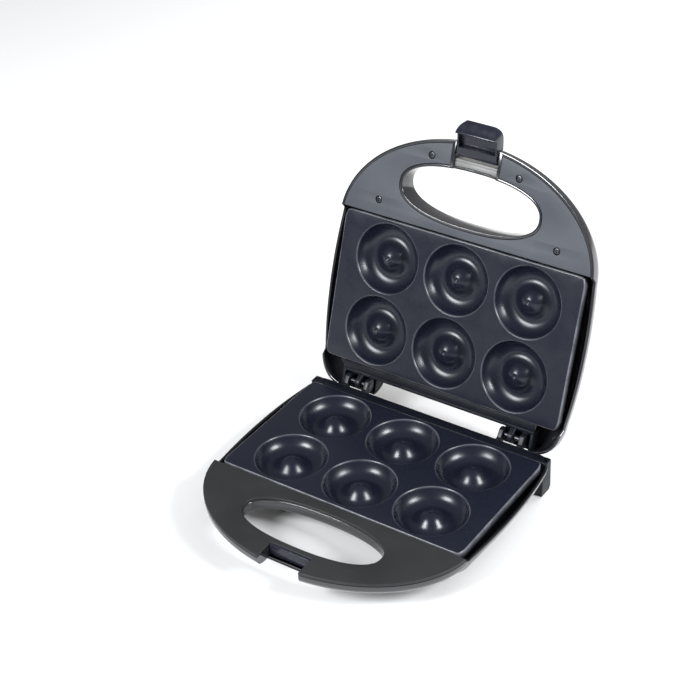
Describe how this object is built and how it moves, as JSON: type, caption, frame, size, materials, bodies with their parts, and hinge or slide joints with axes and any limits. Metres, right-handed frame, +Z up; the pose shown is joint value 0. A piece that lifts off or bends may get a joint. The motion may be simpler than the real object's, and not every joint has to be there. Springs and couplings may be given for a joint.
{
  "type": "donut maker",
  "caption": "Hinged electric donut maker with ring-well plates, a finger-hole handle on each half, a front clip and a brushed top panel.",
  "frame": {"origin": "on the table under the middle of the open unit's bounding box", "axes": "+X to the right, +Y from the handle to the hinge, +Z up"},
  "size_m": [0.2324, 0.2958, 0.2529],
  "materials": {
    "bright_steel": "polished",
    "brushed_panel": "brushed",
    "ceramic": "off-white ceramic",
    "clip_black": "semi-gloss",
    "cover_grey": "fine satin grain",
    "dark_steel": "blackened",
    "foot_rubber": "matte",
    "gloss_black": "gloss",
    "green_lens": "translucent",
    "lamp_glass": "clear",
    "non_stick": "dark non-stick coat on die-cast aluminium",
    "red_lens": "translucent",
    "tinned_sheet": "dull tinned"
  },
  "bodies": {
    "base": {"base_cover_screw_left_1": "dark_steel", "base_cover_screw_left_2": "dark_steel", "base_cover_screw_right_1": "dark_steel", "base_cover_screw_right_2": "dark_steel", "base_handle_cover": "cover_grey", "base_shell": "gloss_black", "cord_gland": "foot_rubber", "front_foot_left": "foot_rubber", "front_foot_right": "foot_rubber", "hinge_pin_left": "dark_steel", "hinge_pin_right": "dark_steel", "lower_donut_plate": "non_stick", "lower_heating_element": "bright_steel", "lower_plate_spacer_left": "bright_steel", "lower_plate_spacer_right": "bright_steel", "lower_reflector_tray": "tinned_sheet", "rear_foot_left": "foot_rubber", "rear_foot_right": "foot_rubber", "terminal_block": "ceramic", "thermal_fuse": "ceramic"},
    "lid": {"clip_pin": "dark_steel", "green_lamp": "lamp_glass", "green_ready_lens": "green_lens", "indicator_bezel": "gloss_black", "lid_cover_screw_left_1": "dark_steel", "lid_cover_screw_left_2": "dark_steel", "lid_cover_screw_right_1": "dark_steel", "lid_cover_screw_right_2": "dark_steel", "lid_handle_cover": "cover_grey", "lid_shell": "gloss_black", "red_lamp": "lamp_glass", "red_power_lens": "red_lens", "steel_top_panel": "brushed_panel", "thermostat": "ceramic", "upper_donut_plate": "non_stick", "upper_heating_element": "bright_steel", "upper_plate_spacer_left": "bright_steel", "upper_plate_spacer_right": "bright_steel", "upper_reflector_tray": "tinned_sheet"},
    "latch": {"latch_clip": "clip_black"}
  },
  "joints": [
    {"name": "lid_hinge", "type": "hinge", "parent": "base", "child": "lid", "pos_m": [0, 0.06765, 0.0314], "axis": [1, 0, 0], "range_deg": [0, 109]},
    {"name": "latch_hinge", "type": "hinge", "parent": "lid", "child": "latch", "pos_m": [0, 0.13754, 0.227], "axis": [1, 0, 0], "range_deg": [0, 75]}
  ]
}
